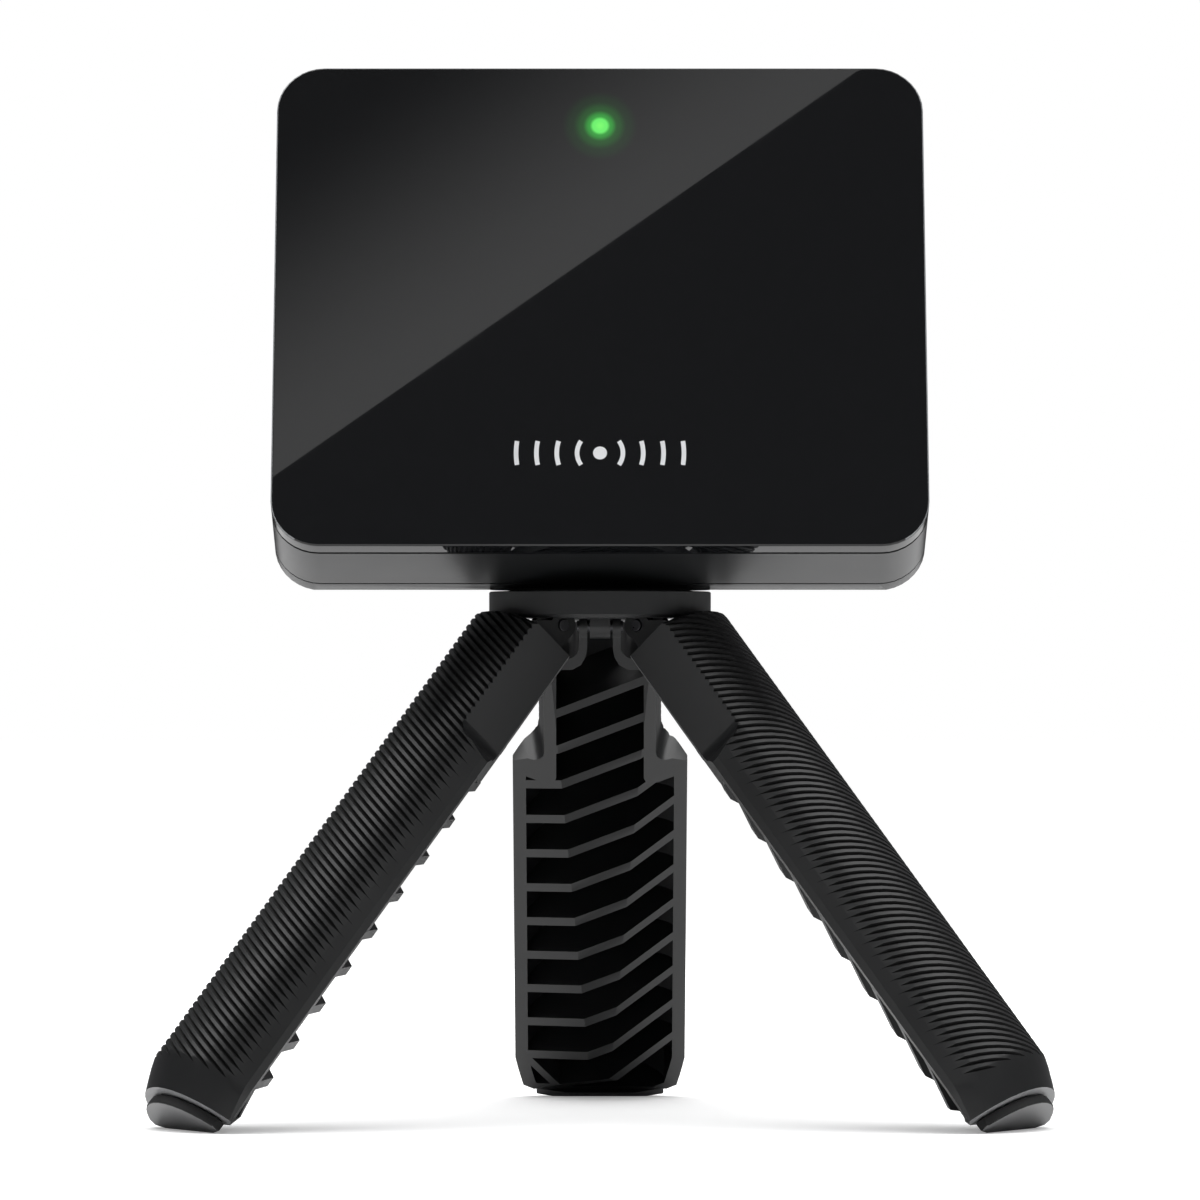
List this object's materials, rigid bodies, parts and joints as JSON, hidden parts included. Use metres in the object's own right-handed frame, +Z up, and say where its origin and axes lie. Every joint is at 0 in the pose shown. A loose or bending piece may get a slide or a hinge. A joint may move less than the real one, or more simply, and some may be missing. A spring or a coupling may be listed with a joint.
{
  "type": "golf launch monitor",
  "caption": "Slim square radar head with a glossy black window, leaning back on a small folding tripod with ribbed legs and rubber soles.",
  "frame": {"origin": "on the ground, under the middle of the whole object's box", "axes": "+Z up, -Y towards the window side, +X towards the side with the charging port"},
  "size_m": [0.1216, 0.1088, 0.1444],
  "materials": {
    "gloss_window": "black, highly polished",
    "seal_rubber": "matte black",
    "housing_plastic": "charcoal, satin",
    "button_plastic": "charcoal, satin",
    "hub_plastic": "charcoal, satin",
    "leg_plastic": "charcoal, fine moulded texture",
    "sole_rubber": "matte black",
    "insert_brass": "machined",
    "dark_steel": "black oxide",
    "shield_steel": "bright",
    "circuit_board": "green solder mask",
    "antenna_copper": "plated copper",
    "light_lens": "clear, lit green",
    "battery_foil": "foil wrap"
  },
  "bodies": {
    "tripod": {"tripod_hub": "hub_plastic", "friction_pad": "seal_rubber", "tripod_screw": "shield_steel"},
    "leg_left": {"leg_left": "leg_plastic", "sole_left": "sole_rubber", "hinge_pin_left": "dark_steel"},
    "leg_right": {"leg_right": "leg_plastic", "sole_right": "sole_rubber", "hinge_pin_right": "dark_steel"},
    "leg_rear": {"leg_rear": "leg_plastic", "sole_rear": "sole_rubber", "hinge_pin_rear": "dark_steel"},
    "head": {"front_window": "gloss_window", "perimeter_seal": "seal_rubber", "mid_housing": "housing_plastic", "rear_cover": "housing_plastic", "thread_insert": "insert_brass", "cover_screw_top_left": "dark_steel", "cover_screw_top_right": "dark_steel", "cover_screw_bottom_left": "dark_steel", "cover_screw_bottom_right": "dark_steel", "radar_board": "circuit_board", "radar_antenna": "antenna_copper", "radar_shield": "shield_steel", "status_led": "light_lens", "light_guide": "light_lens", "battery_tray": "housing_plastic", "battery_pack": "battery_foil", "power_switch": "shield_steel", "charging_port": "shield_steel"},
    "button": {"power_button": "button_plastic"},
    "flap": {"port_flap": "seal_rubber"}
  },
  "joints": [
    {"name": "leg_left_fold", "type": "hinge", "parent": "tripod", "child": "leg_left", "pos_m": [-0.00641, -0.017, 0.0675], "axis": [0.5, -0.866, 0], "range_deg": [0, 40.3]},
    {"name": "leg_right_fold", "type": "hinge", "parent": "tripod", "child": "leg_right", "pos_m": [0.00641, -0.017, 0.0675], "axis": [0.5, 0.866, 0], "range_deg": [0, 40.3]},
    {"name": "leg_rear_fold", "type": "hinge", "parent": "tripod", "child": "leg_rear", "pos_m": [0, -0.0059, 0.0675], "axis": [-1, 0, 0], "range_deg": [0, 40.3]},
    {"name": "head_swivel", "type": "hinge", "parent": "tripod", "child": "head", "pos_m": [0, -0.0133, 0.0724], "axis": [0, 0, 1], "range_deg": [-90, 90]},
    {"name": "power_button_press", "type": "slide", "parent": "head", "child": "button", "axis": [0, -0.3569, -0.9341], "range_m": [0, 0.0005], "stiffness_N_per_m": 3000, "springref_m": -0.0002},
    {"name": "port_flap_open", "type": "hinge", "parent": "head", "child": "flap", "pos_m": [0.0438, -0.01023, 0.10991], "axis": [0, 0.3569, 0.9341], "range_deg": [0, 100]}
  ]
}
